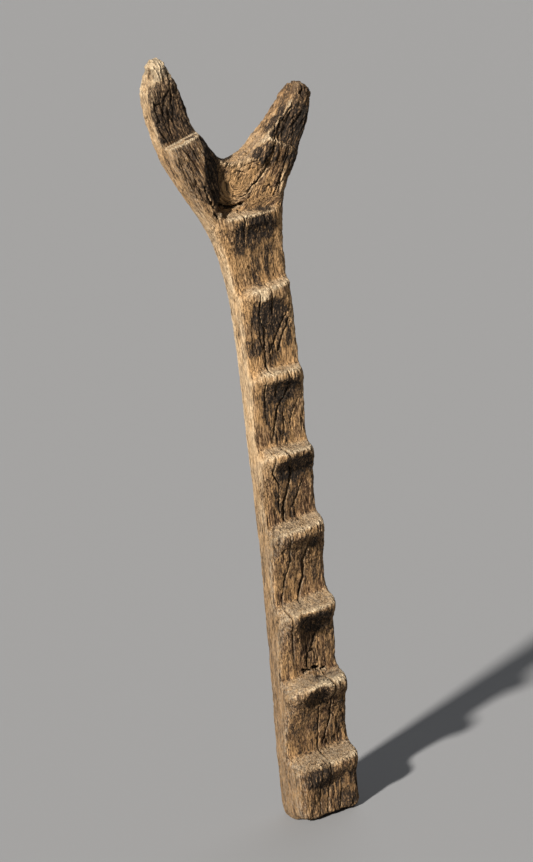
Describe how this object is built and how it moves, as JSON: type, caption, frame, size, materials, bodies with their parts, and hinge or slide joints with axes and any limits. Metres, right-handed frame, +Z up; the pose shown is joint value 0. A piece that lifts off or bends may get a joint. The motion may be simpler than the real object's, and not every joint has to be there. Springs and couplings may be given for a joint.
{
  "type": "notched log ladder",
  "caption": "Forked notched log ladder, hewn from one tree trunk: treads cut into its front, a flat foot and a Y-shaped fork at its head.",
  "frame": {"origin": "middle of the flat foot, on its sawn face", "axes": "+Z up the trunk from the foot to the fork; -Y is the front, which the treads face; +X to the right of someone who climbs it"},
  "size_m": [0.3894, 0.1305, 1.782],
  "materials": {
    "weathered_wood": "bare weathered hardwood, hewn, handled and dry, with dark stains, bleached rims and drying cracks"
  },
  "bodies": {
    "root": {"notched_ladder_log": "weathered_wood"}
  },
  "joints": []
}
